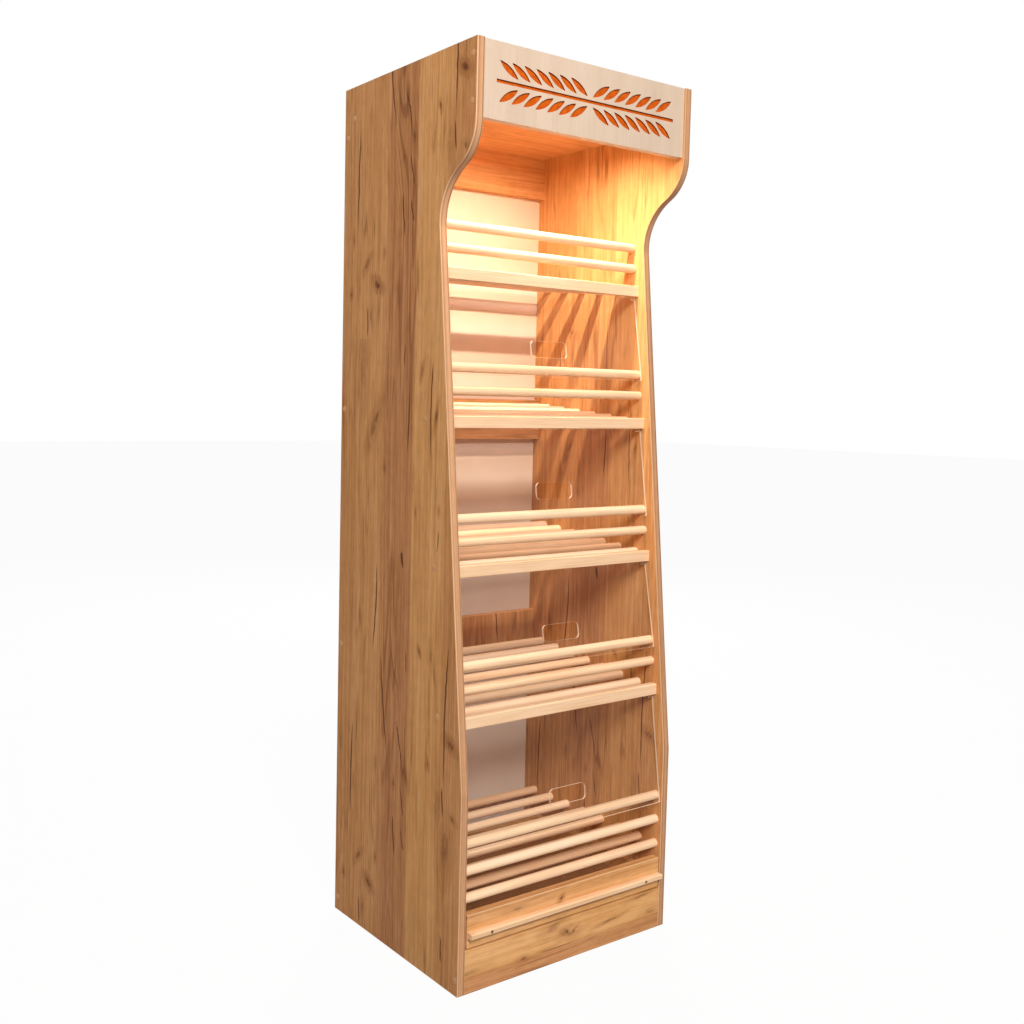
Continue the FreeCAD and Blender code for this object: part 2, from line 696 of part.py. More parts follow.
def flap_sheet(body, tier, length, drop):
    """Sheet in the body's XZ plane, with the pivot axis along X through the origin."""
    half_width = f"({half_inner} - FlapSideGap)"
    sketch = new_sketch(body, f"flap_{tier}_outline", "XZ_Plane")
    half = sizes["Width"] / 2 - sizes["Board"] - sizes["FlapSideGap"]
    first_length = 0.6 * sizes["TierPitch"]
    rectangle(sketch, (-half, -first_length), (half, sizes["FlapEdge"]),
              (f"-{half_width}", f"-({length})", f"2 * {half_width}", f"{length} + FlapEdge"))
    sheet_pad = pad(body, sketch, f"flap_{tier}_pad", "FlapThickness", midplane=True)
    hole_sketch = new_sketch(body, f"flap_{tier}_hand_hole", "XZ_Plane")
    low = -sizes[drop] - sizes["HandHoleHeight"] / 2
    rectangle(hole_sketch, (-sizes["HandHoleWidth"] / 2, low),
              (sizes["HandHoleWidth"] / 2, low + sizes["HandHoleHeight"]),
              ("-HandHoleWidth / 2", f"-{drop} - HandHoleHeight / 2", "HandHoleWidth", "HandHoleHeight"))
    pocket = body.newObject("PartDesign::Pocket", f"flap_{tier}_pocket")
    pocket.Profile = hole_sketch
    pocket.Midplane = True
    bind(pocket, Length="2 * FlapThickness")
    doc.recompute()
    if pocket.Shape.Volume >= sheet_pad.Shape.Volume:
        raise RuntimeError(f"the hand hole of flap {tier} cuts nothing")
    rounded = round_edges(body, pocket, edges_through(pocket, 0, half - 1), f"flap_{tier}_hole_round",
                          "HandHoleRadius")
    doc.recompute()
    round_edges(body, rounded, edges_through(rounded, half - 1, half + 1), f"flap_{tier}_corner_round",
                "FlapCorner")


def flap_pins(tier, y, z):
    reach = f"({half_inner} + PinReach)"
    grip = f"({half_inner} - FlapSideGap - PinGrip)"
    pins = []
    for side, sign in sides.items():
        axis = "+X" if sign > 0 else "-X"
        pins.append(cylinder(f"flap_{tier}_{side}_pin", "PinDiameter", f"{reach} - {grip}",
                             f"{sign} * {grip}", y, z, axis))
        bore = cylinder(f"flap_{tier}_{side}_bore", "PinDiameter + 2 * PinFit",
                        f"{reach} - {grip} + 2 * RodEndGap", f"{sign} * ({grip} - RodEndGap)", y, z, axis)
        holes[f"{side}_side_panel"].append(bore)
        holes[f"flap_tier_{tier}"].append(bore)
    blanks[f"flap_pins_tier_{tier}"] = compound(f"flap_{tier}_pins", pins)


# Crumb drawer.

drawer_half = f"({half_inner} - RunnerGap)"
drawer_side_z = "(PlinthHeight + DrawerSideLift)"
drawer_y = f"({front} + Board)"
drawer_length = f"({back_face} - Board - DrawerRearGap - {drawer_y})"
runner_length = f"({drawer_length} - RunnerEndGap)"


def drawer():
    front_width = f"({inner_width} - 2 * DrawerGap)"
    blanks["drawer_front"] = box("drawer_front_blank", front_width, "Board", "DrawerFrontHeight",
                                 f"-{front_width} / 2", front, "PlinthHeight + DrawerLift")
    between = f"({drawer_half} - Board)"
    back_y = f"{drawer_y} + {drawer_length} - Board"
    blanks["drawer_back"] = box("drawer_back_blank", f"2 * {between}", "Board", "DrawerSideHeight",
                                f"-{between}", back_y, drawer_side_z)
    blanks["drawer_bottom"] = box("drawer_bottom_blank", f"2 * {drawer_half}", drawer_length,
                                  "DrawerBottomThickness", f"-{drawer_half}", drawer_y,
                                  f"{drawer_side_z} - DrawerBottomThickness")
    middle_z = f"{drawer_side_z} + DrawerSideHeight / 2"
    for side, sign in sides.items():
        name = f"drawer_{side}_side"
        start = between if sign > 0 else f"-{drawer_half}"
        blanks[name] = box(f"{name}_blank", "Board", drawer_length, "DrawerSideHeight", start, drawer_y,
                           drawer_side_z)
        for level in (-1, 1):
            z = f"{middle_z} + {level} * DrawerDowelSpacing / 2"
            fasten("drawer_dowel", "drawer_dowels", f"{sign} * ({between} + Board / 2)", drawer_y, z, "+Y",
                   ("drawer_front", name))
            fasten("drawer_dowel", "drawer_dowels", f"{sign} * {between}", f"{back_y} + Board / 2", z,
                   "+X", ("drawer_back", name))
    handle(front_width)


def handle(front_width):
    body = new_body("handle")
    length = f"({front_width} - 2 * HandleEndGap)"
    place(body, f"-{length} / 2", f"{front} - HandleDepth", "PlinthHeight + HandleLift")
    blanks["drawer_handle"] = rounded_bar(body, "handle", length, "HandleDepth", "HandleHeight",
                                          "HandleRadius", front_only=True)
    for side, sign in sides.items():
        fasten("handle", "handle_screws", f"{sign} * ({half_inner} - HandleScrewInset)",
               f"{front} - HandleDepth", "PlinthHeight + HandleLift + HandleHeight / 2", "+Y",
               ("drawer_handle", "drawer_front"))


def runner(name, sign, near, height, open_outward):
    """Channel along Y with its web upright, open towards the drawer or away from it."""
    middle_z = f"({drawer_side_z} + DrawerSideHeight / 2)"
    solid = box(f"{name}_solid", "RunnerDepth", runner_length, height, near, drawer_y,
                f"{middle_z} - {height} / 2")
    hollow_x = f"{near} + RunnerWall" if open_outward == (sign > 0) else near
    hollow = box(f"{name}_hollow", "RunnerDepth - RunnerWall", runner_length,
                 f"{height} - 2 * RunnerWall", hollow_x, drawer_y, f"{middle_z} - {height} / 2 + RunnerWall")
    return cut(name, solid, hollow)


def runners():
    fixed, moving = [], []
    moving_height = "(RunnerHeight - 2 * RunnerWall - 2 * RunnerFit)"
    middle_z = f"{drawer_side_z} + DrawerSideHeight / 2"
    for side, sign in sides.items():
        near = f"({half_inner} - RunnerDepth)" if sign > 0 else f"-{half_inner}"
        fixed.append(runner(f"{side}_fixed_channel", sign, near, "RunnerHeight", False))
        near = drawer_half if sign > 0 else f"(-{drawer_half} - RunnerDepth)"
        moving.append(runner(f"{side}_moving_channel", sign, near, moving_height, True))
        outward, inward = ("+X", "-X") if sign > 0 else ("-X", "+X")
        for y in (f"{drawer_y} + RunnerScrewInset", f"{drawer_y} + {runner_length} - RunnerScrewInset"):
            fasten("runner", "fixed_runner_screws", f"{sign} * ({half_inner} - RunnerWall)", y, middle_z,
                   outward, ("fixed_runners", f"{side}_side_panel"))
            fasten("runner", "moving_runner_screws", f"{sign} * ({drawer_half} + RunnerWall)", y, middle_z,
                   inward, ("moving_runners", f"drawer_{side}_side"))
    blanks["fixed_runners"] = compound("fixed_pair", fixed)
    blanks["moving_runners"] = compound("moving_pair", moving)


# Light under the top board, fed by a driver on top of it.

profile_length = f"({inner_width} - 2 * (ProfileEndGap + EndCapThickness))"
lamp_y = f"({front} + LampSetback)"
profile_y = f"({lamp_y} - ProfileDepth / 2)"
profile_z = f"({top_board_top} - Board - ProfileHeight)"
driver_y = f"({lamp_y} - DriverDepth / 4)"
driver_end = f"({half_inner} - DriverEndGap)"
driver_start = f"({driver_end} - DriverLength)"


def light():
    length, half = profile_length, f"{profile_length} / 2"
    solid = box("profile_solid", length, "ProfileDepth", "ProfileHeight", f"-{half}", profile_y, profile_z)
    hollow_width = "(ProfileDepth - 2 * ProfileWall)"
    hollow_y = f"{profile_y} + ProfileWall"
    hollow = box("profile_hollow", length, hollow_width, "ProfileHeight - ProfileWall", f"-{half}",
                 hollow_y, profile_z)
    blanks["led_profile"] = cut("profile_blank", solid, hollow)
    blanks["led_diffuser"] = box("diffuser_blank", length, hollow_width, "DiffuserThickness", f"-{half}",
                                 hollow_y, profile_z)
    blanks["led_strip"] = box("strip_blank", length, "StripWidth", "StripThickness", f"-{half}",
                              f"{lamp_y} - StripWidth / 2",
                              f"{profile_z} + ProfileHeight - ProfileWall - StripThickness")
    caps = [box(f"{side}_end_cap", "EndCapThickness", "ProfileDepth", "ProfileHeight",
                half if sign > 0 else f"-{half} - EndCapThickness", profile_y, profile_z)
            for side, sign in sides.items()]
    blanks["led_end_caps"] = compound("end_caps", caps)


def driver():
    """Driver on the top board, with a screwed ear and a mains inlet; its wire leaves at the far end."""
    housing = box("driver_housing", "DriverLength", "DriverDepth", "DriverHeight", driver_start, driver_y,
                  top_board_top)
    ear_width = "DriverDepth / 2"
    ear_y = f"{driver_y} + DriverDepth / 2"
    ears = []
    for name, x in (("near", f"{driver_start} - EarLength"), ("far", driver_end)):
        ears.append(box(f"{name}_ear", "EarLength", ear_width, "EarThickness", x, ear_y, top_board_top))
        fasten("driver", "driver_screws", f"{x} + EarLength / 2", f"{ear_y} + {ear_width} / 2",
               f"{top_board_top} + EarThickness", "-Z", ("led_driver", "top_board"))
    blanks["led_driver"] = fuse("driver_blank", [housing] + ears)
    middle_y = f"({driver_y} + DriverDepth / 2)"
    middle_z = f"({top_board_top} + DriverHeight / 2)"
    fit = "ScrewFit"
    recess = box("inlet_recess", f"InletDepth + {fit}", f"InletWidth + 2 * {fit}",
                 f"InletHeight + 2 * {fit}", driver_start, f"{middle_y} - InletWidth / 2 - {fit}",
                 f"{middle_z} - InletHeight / 2 - {fit}")
    holes["led_driver"].append(recess)
    shell = box("inlet_shell", "InletDepth", "InletWidth", "InletHeight", driver_start,
                f"{middle_y} - InletWidth / 2", f"{middle_z} - InletHeight / 2")
    mouth = box("inlet_mouth", "InletDepth - InletWall", "InletWidth - 2 * InletWall",
                "InletHeight - 2 * InletWall", driver_start, f"{middle_y} - InletWidth / 2 + InletWall",
                f"{middle_z} - InletHeight / 2 + InletWall")
    pins = [cylinder(f"inlet_pin_{number}", "InletPinDiameter", "InletDepth - InletWall", driver_start,
                     f"{middle_y} + {number - 0.5} * InletPinSpacing", middle_z, "+X")
            for number in (0, 1)]
    blanks["driver_inlet"] = fuse("inlet_blank", [cut("inlet_cup", shell, mouth)] + pins)


def feed_wire():
    """Wire from the driver's far end down through the top board to the strip."""
    start_x = sheet.Width / 2 - sheet.Board - sheet.DriverEndGap
    y = (sheet.HandleDepth - sheet.Depth) / 2 + sheet.LampSetback
    high = sheet.Height - sheet.TopBoardDrop + sheet.DriverHeight / 2
    low = sheet.Height - sheet.TopBoardDrop - sheet.Board - sheet.ProfileWall
    start = FreeCAD.Vector(start_x, y, high)
    corner = FreeCAD.Vector(start_x + sheet.WireReach, y, high)
    end = FreeCAD.Vector(corner.x, y, low)
    radius = sheet.WireBend
    arc_start = corner - FreeCAD.Vector(radius, 0, 0)
    arc_end = corner - FreeCAD.Vector(0, 0, radius)
    centre = FreeCAD.Vector(arc_start.x, y, arc_end.z)
    arc_middle = centre + FreeCAD.Vector(sin(radians(45)), 0, cos(radians(45))) * radius
    edges = [Part.LineSegment(start, arc_start), Part.Arc(arc_start, arc_middle, arc_end),
             Part.LineSegment(arc_end, end)]
    path = Part.Wire([item.toShape() for item in edges])
    section = Part.Wire(Part.makeCircle(sheet.WireDiameter / 2, start, FreeCAD.Vector(1, 0, 0)))
    item = doc.addObject("Part::Feature", "feed_wire")
    item.Shape = path.makePipeShell([section], True, True)
    blanks["led_feed_wire"] = item
    print(f"feed wire: length {path.Length:.1f}, bend radius {radius:.1f}")
    gap_diameter = "WireDiameter + 2 * WireHoleGap"
    x = f"{driver_end} + WireReach"
    for piece, depth, z in (("top_board", "Board", f"{top_board_top} - Board"),
                            ("led_profile", "ProfileWall", f"{profile_z} + ProfileHeight - ProfileWall")):
        holes[piece].append(cylinder(f"{piece}_wire_hole", gap_diameter, depth, x, lamp_y, z))


def finish_pieces():
    """Cut each piece's holes out of its blank, and label the result with the piece's name."""
    for group, members in groups.items():
        blanks[group] = compound(f"{group}_group", members)
    pieces = {}
    for name, blank in blanks.items():
        piece = blank
        if holes[name]:
            piece = cut(f"{name}_piece", blank, compound(f"{name}_holes", holes[name]))
        piece.Label = name
        pieces[name] = piece
    return pieces


def check_and_export(pieces):
    for item in doc.Objects:
        if "Invalid" in item.State or "Error" in item.State:
            raise RuntimeError(f"{item.Name} failed: {item.State}")
    for name, piece in pieces.items():
        if piece.Shape.isNull() or not piece.Shape.isValid() or not piece.Shape.Solids:
            raise RuntimeError(f"{name} has no valid solid")
    os.makedirs("parts", exist_ok=True)
    for name, piece in pieces.items():
        piece.Shape.exportStep(f"parts/{name}.step")
        print(f"{name}: {len(piece.Shape.Solids)} solids, {piece.Shape.Volume / 1000:.1f} cm3")


side_panels()
fastener_kinds()
boards()
back_panel()
header_ornament()
rails()
fence_rods()
shelves()
flaps()
drawer()
runners()
light()
driver()
feed_wire()
parts = finish_pieces()
doc.recompute()
check_and_export(parts)
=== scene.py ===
import json
import math
import bmesh
import bpy
from mathutils import Matrix, Quaternion, Vector


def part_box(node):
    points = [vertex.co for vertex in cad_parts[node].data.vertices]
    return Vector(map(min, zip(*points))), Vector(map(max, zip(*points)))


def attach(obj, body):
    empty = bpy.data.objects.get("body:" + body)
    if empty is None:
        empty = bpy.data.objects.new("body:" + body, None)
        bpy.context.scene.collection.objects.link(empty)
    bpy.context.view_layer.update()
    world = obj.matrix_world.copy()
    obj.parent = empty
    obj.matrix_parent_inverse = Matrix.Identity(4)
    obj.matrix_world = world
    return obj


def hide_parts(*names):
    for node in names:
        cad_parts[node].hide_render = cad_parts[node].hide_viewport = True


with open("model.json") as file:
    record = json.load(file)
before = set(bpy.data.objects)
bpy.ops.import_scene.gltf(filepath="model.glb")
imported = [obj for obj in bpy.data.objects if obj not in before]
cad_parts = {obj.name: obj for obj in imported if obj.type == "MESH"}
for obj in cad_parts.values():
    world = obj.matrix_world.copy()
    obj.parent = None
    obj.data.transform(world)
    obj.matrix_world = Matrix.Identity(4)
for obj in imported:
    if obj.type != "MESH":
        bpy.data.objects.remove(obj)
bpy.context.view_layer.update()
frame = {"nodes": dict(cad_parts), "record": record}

nodes = frame["nodes"]
print("frame loaded with", len(nodes), "nodes")


def tone(red, green, blue):
    # a colour picked on screen, 0 to 255, as the linear colour that a shader takes
    parts = [channel / 255 for channel in (red, green, blue)]
    return tuple(p / 12.92 if p <= 0.04045 else ((p + 0.055) / 1.055) ** 2.4 for p in parts) + (1,)


class Sock:
    # one socket of a material; sums written on it add their Math nodes
    def __init__(self, tree, socket):
        self.tree = tree
        self.socket = socket

    def node(self, kind, settings=None, inputs=None, output=0):
        # any node: its type, its settings, then the values or links of its sockets
        made = self.tree.nodes.new("ShaderNode" + kind)
        for name, value in (settings or {}).items():
            if name == "stops":
                while len(made.color_ramp.elements) < len(value):
                    made.color_ramp.elements.new(1)
                for stop, (position, colour) in zip(made.color_ramp.elements, value):
                    stop.position = position
                    stop.color = colour
            else:
                setattr(made, name, value)
        for name, value in (inputs or {}).items():
            if isinstance(value, Sock):
                self.tree.links.new(value.socket, made.inputs[name])
            else:
                made.inputs[name].default_value = value
        return Sock(self.tree, made.outputs[output])

    def other(self, name):
        # another output of this socket's node
        return Sock(self.tree, self.socket.node.outputs[name])

    def maths(self, operation, *values):
        return self.node("Math", {"operation": operation}, dict(enumerate(values)))

    def __add__(self, other):
        return self.maths("ADD", self, other)

    def __sub__(self, other):
        return self.maths("SUBTRACT", self, other)

    def __mul__(self, other):
        return self.maths("MULTIPLY", self, other)

    def __truediv__(self, other):
        return self.maths("DIVIDE", self, other)

    def __pow__(self, other):
        return self.maths("POWER", self, other)

    def __radd__(self, other):
        return self.maths("ADD", other, self)

    def __rsub__(self, other):
        return self.maths("SUBTRACT", other, self)

    def __rmul__(self, other):
        return self.maths("MULTIPLY", other, self)

    def __abs__(self):
        return self.maths("ABSOLUTE", self)

    def above(self, edge):
        return self.maths("GREATER_THAN", self, edge)

    def larger(self, other):
        return self.maths("MAXIMUM", self, other)

    def timesPlus(self, factor, addend):
        return self.maths("MULTIPLY_ADD", self, factor, addend)

    def wrap(self, low, high):
        return self.maths("WRAP", self, high, low)

    def clip(self):
        return self.node("Clamp", inputs={"Value": self})

    def fade(self, low, high, top=1.0):
        # 0 at low and top at high, smooth between; high may be the smaller one
        return self.node("MapRange", {"interpolation_type": "SMOOTHSTEP"},
                         {"Value": self, "From Min": low, "From Max": high, "To Max": top})

    def parts(self):
        split = self.node("SeparateXYZ", inputs={"Vector": self})
        return [split.other(axis) for axis in "XYZ"]

    def noise(self, x, y, z, detail=2.0, roughness=0.5):
        spot = self.node("CombineXYZ", inputs={"X": x, "Y": y, "Z": z})
        return self.node("TexNoise", inputs={"Vector": spot, "Scale": 1.0, "Detail": detail,
                                             "Roughness": roughness})

    def ramp(self, *stops):
        return self.node("ValToRGB", {"stops": stops}, {"Fac": self})

    def mix(self, first, second):
        # this socket is the factor between two colours; a Mix node's colours are its sockets 6 and 7
        return self.node("Mix", {"data_type": "RGBA"}, {0: self, 6: first, 7: second}, output=2)

    def mixShaders(self, first, second):
        return self.node("MixShader", inputs={0: self, 1: first, 2: second})


def newMaterial(name):
    # an empty material, and the place of a point in its piece's own coordinates
    material = bpy.data.materials.new(name)
    material.use_nodes = True
    material.node_tree.nodes.clear()
    return material, Sock(material.node_tree, None).node("TexCoord", output="Object")


def finish(owner, shader, kind="Material"):
    out = owner.node_tree.nodes.new("ShaderNodeOutput" + kind)
    owner.node_tree.links.new(shader.socket, out.inputs["Surface"])
    return owner


def surface(place, colour, roughness, height=None, depth=0.0002, gloss=0.13, **more):
    # depth is the bump's, in metres; more holds other sockets, with _ for the space in their names
    inputs = {"Base Color": colour, "Roughness": roughness, "Specular IOR Level": gloss}
    inputs.update({name.replace("_", " "): value for name, value in more.items()})
    if height is not None:
        inputs["Normal"] = place.node("Bump", inputs={"Height": height, "Distance": depth, "Strength": 1.0})
    return place.node("BsdfPrincipled", inputs=inputs)


# The oak decor: broad planks, knots and splits, printed again every repeat along the grain.
# Places are (across, along) on the left panel's outer face in metres.
oak = {
    "repeat": 1.34,
    "width": (-0.2325, 0.2475),
    # start across, how soft that joint is, lightness, redness, figure
    "planks": [
        (-0.2325, 0.001, 0.46, 0.42, 0.40),
        (-0.155, 0.030, 0.60, 0.12, 0.15),
        (-0.042, 0.004, 0.38, 0.74, 1.0),
        (0.066, 0.034, 0.55, 0.42, 0.35),
        (0.1835, 0.008, 0.46, 0.35, 0.30)],
    # across, along, half width, half length, lean, darkness
    "knots": [
        (0.1035, 0.1155, 0.0070, 0.013, 1.2, 1.0), (0.148, 0.162, 0.0050, 0.014, -0.8, 0.7),
        (-0.195, 0.509, 0.0070, 0.013, 1.5, 1.0), (0.1075, 1.152, 0.0085, 0.034, -0.54, 0.6),
        (-0.180, 0.289, 0.0130, 0.036, -0.1, 0.55), (-0.203, 0.359, 0.0050, 0.009, 1.2, 0.6),
        (0.0968, 1.169, 0.0040, 0.010, -0.5, 0.8), (-0.183, 0.272, 0.0060, 0.009, 0.8, 0.5),
        (0.2114, 0.102, 0.0040, 0.007, 0.0, 0.8), (0.2031, 0.221, 0.0025, 0.010, 0.0, 0.5),
        (0.0782, 0.182, 0.0030, 0.007, 0.0, 0.5), (0.1287, 0.049, 0.0040, 0.012, 0.0, 0.5),
        (-0.070, 1.264, 0.0035, 0.010, -0.2, 0.8), (-0.1232, 1.171, 0.0032, 0.018, -0.2, 0.85),
        (0.0655, 1.057, 0.0032, 0.007, 0.0, 0.6), (-0.0553, 0.969, 0.0026, 0.007, 0.0, 0.6),
        (-0.1375, 0.980, 0.0030, 0.006, 0.0, 0.5), (-0.0777, 0.680, 0.0030, 0.007, 0.4, 0.95),
        (-0.1212, 0.675, 0.0040, 0.016, 0.1, 0.45), (0.1692, 0.676, 0.0030, 0.011, 0.0, 0.4),
        (-0.1162, 0.451, 0.0027, 0.008, 0.2, 0.85), (-0.028, 0.406, 0.0045, 0.013, 0.0, 0.75),
        (0.0091, 0.372, 0.0030, 0.007, 0.0, 0.6), (-0.1522, 0.368, 0.0110, 0.040, 0.0, 0.30),
        (0.1563, 1.275, 0.0100, 0.050, 0.0, 0.34), (0.075, 0.905, 0.0020, 0.030, 0.0, 0.45)],
    "bent": 5,      # the first of them bend the grain round them
    # across and along at both ends, bow, half width, darkness
    "splits": [
        (0.1795, 0.474, 0.1845, 0.244, 0.0037, 0.0037, 1.0),
        (0.0692, 0.658, 0.0381, 0.432, 0.0041, 0.0035, 1.0),
        (0.0097, 0.516, -0.0196, 0.396, -0.0075, 0.0032, 0.9),
        (-0.0140, 0.376, -0.0313, 0.303, 0.0, 0.0030, 0.8),
        (0.0105, 0.307, 0.0, 0.205, 0.0026, 0.0035, 0.9),
        (-0.0199, 0.284, -0.0346, 0.231, 0.0032, 0.0035, 0.7),
        (-0.1808, 0.727, -0.1716, 0.410, 0.0040, 0.0035, 1.0),
        (-0.1657, 0.417, -0.1714, 0.351, 0.0, 0.0035, 0.8),
        (0.1428, 0.071, 0.1415, -0.003, 0.0, 0.0032, 0.85),
        (-0.0254, 1.231, -0.0212, 1.094, -0.0020, 0.0032, 1.0),
        (-0.1094, 1.296, -0.1089, 1.069, 0.0053, 0.0032, 1.0),
        (0.0899, 0.853, 0.1030, 0.644, -0.0056, 0.0035, 1.0),
        (-0.0052, 0.884, -0.0110, 0.845, 0.0, 0.0063, 1.0),
        (-0.1388, 0.941, -0.1325, 0.892, -0.0008, 0.0037, 0.6),
        (-0.0272, 0.674, -0.0308, 0.620, 0.0, 0.0032, 0.8),
        (0.0264, 0.699, -0.0109, 0.566, 0.0119, 0.0032, 0.5),
        (-0.1717, 0.106, -0.1737, 0.045, 0.0, 0.0035, 0.9),
        (-0.0065, 1.322, -0.0045, 1.278, 0.0, 0.0030, 0.6)],
    # knots of the plinth and the drawer front, by height and along X
    "lowKnots": [
        (0.081, -0.042, 0.0085, 0.020, 0.25, 0.45), (0.060, -0.006, 0.0085, 0.020, -0.25, 0.5),
        (0.061, -0.002, 0.0022, 0.008, -0.9, 0.9), (0.058, 0.017, 0.0020, 0.009, 0.8, 0.8),
        (0.054, 0.128, 0.0022, 0.024, 0.12, 0.6), (0.034, -0.125, 0.0035, 0.009, 0.0, 0.6),
        (0.043, -0.271, 0.0060, 0.030, 0.0, 0.35), (0.044, 0.255, 0.0070, 0.016, 0.0, 0.3),
        (0.087, 0.227, 0.0025, 0.022, 0.1, 0.6), (0.140, -0.022, 0.0035, 0.0055, 0.9, 0.9),
        (0.147, -0.147, 0.0035, 0.015, 0.0, 0.45)],
    # layers of figure: scale across, scale along, offset, detail, roughness, and whether the first
    # two planks have their own
    "layers": {
        "cloud": (26, 1.5, 2.0, 3.0, 0.55, True),
        "streak": (120, 2.2, 7.0, 3.0, 0.6, True),
        "fibre": (480, 6, 3.0, 2.0, 0.6, False),
        "flow": (13, 0.85, 6.0, 1.0, 0.5, True),
        "ringsHere": (12, 1.6, 12.0, 2.0, 0.5, False),
        "pores": (900, 26, 5.0, 1.0, 0.5, False),
        "patches": (9, 3.2, 15.0, 3.0, 0.6, True),
        "smoke": (34, 3.0, 21.0, 3.0, 0.6, False),
        "mottle": (70, 24, 33.0, 3.0, 0.6, False),
        "vein": (34, 1.7, 40.0, 2.0, 0.5, True),
        "veinHere": (14, 4.0, 45.0, 2.0, 0.5, False),
        "crumb": (150, 55, 50.0, 3.0, 0.65, False),
    },
    "weights": {"cloud": 0.72, "streak": 0.80, "fibre": 0.44, "patches": 0.52, "mottle": 0.30},
    "tan": [(0.0, tone(160, 104, 60)), (0.35, tone(196, 138, 84)), (0.6, tone(216, 158, 99)),
            (1.0, tone(241, 189, 129))],
    "red": [(0.0, tone(140, 87, 54)), (0.35, tone(179, 120, 79)), (0.6, tone(203, 144, 97)),
            (1.0, tone(228, 171, 122))],
    "dark": tone(92, 45, 16),
    "stain": tone(142, 84, 44),
    "bump": 0.00025,
}


def seenFromMark(a, v, middle, lean, size):
    # how far a place is from a mark, across and along it, in half sizes
    cos, sin = math.cos(math.atan(lean)), math.sin(math.atan(lean))
    startA = (middle[0] * cos - middle[1] * sin) / size[0]
    startV = (middle[0] * sin + middle[1] * cos) / size[1]
    return (a.timesPlus(cos / size[0], v.timesPlus(-sin / size[0], -startA)),
            a.timesPlus(sin / size[1], v.timesPlus(cos / size[1], -startV)))


def knotMarks(place, markA, markV, knots, bent, push):
    # the knots' dark middles, the stained rings round them, and how far the grain is pushed aside
    core = halo = 0.0
    for index, (atA, atV, halfA, halfV, lean, strength) in enumerate(knots):
        beside, ahead = seenFromMark(markA, markV, (atA, atV), lean, (halfA, halfV))
        reach = ahead.timesPlus(ahead, beside * beside)
        ring = reach.fade(11.0, 0.5, strength)
        core = place.maths("MAXIMUM", core, reach.fade(1.56, 0.01, strength))
        halo = place.maths("MAXIMUM", halo, ring)
        if index < bent:
            push = (beside * ring).timesPlus(halfA * 0.55, push)
    return core, halo, push


def splitMarks(place, markA, markV, splits):
    # thin bowed lines that taper to both ends
    split = 0.0
    for startA, startV, endA, endV, bow, width, strength in splits:
        middle = (startA + endA) / 2, (startV + endV) / 2
        half = math.dist((startA, startV), (endA, endV)) / 2
        lean = (endA - startA) / (endV - startV)
        beside, ahead = seenFromMark(markA, markV, middle, lean, (width, half))
        taper = 1 - ahead * ahead
        line = (1 - ahead ** 4 - abs(taper.timesPlus(-bow / width, beside))) * strength
        split = place.maths("MAXIMUM", split, line)
    return split


def plankTones(a, wander):
    # lightness, redness and figure of the plank at each place, kept in one ramp's three channels
    low, high = oak["width"]
    stops = []
    for (start, soft, *after), (*_, light, red, figure) in zip(oak["planks"][1:], oak["planks"]):
        stops.append(((start - soft / 2 - low) / (high - low), (light, red, figure, 1)))
        stops.append(((start + soft / 2 - low) / (high - low), (*after, 1)))
    return ((a - wander * 0.012 - low) / (high - low)).ramp(*stops).parts()


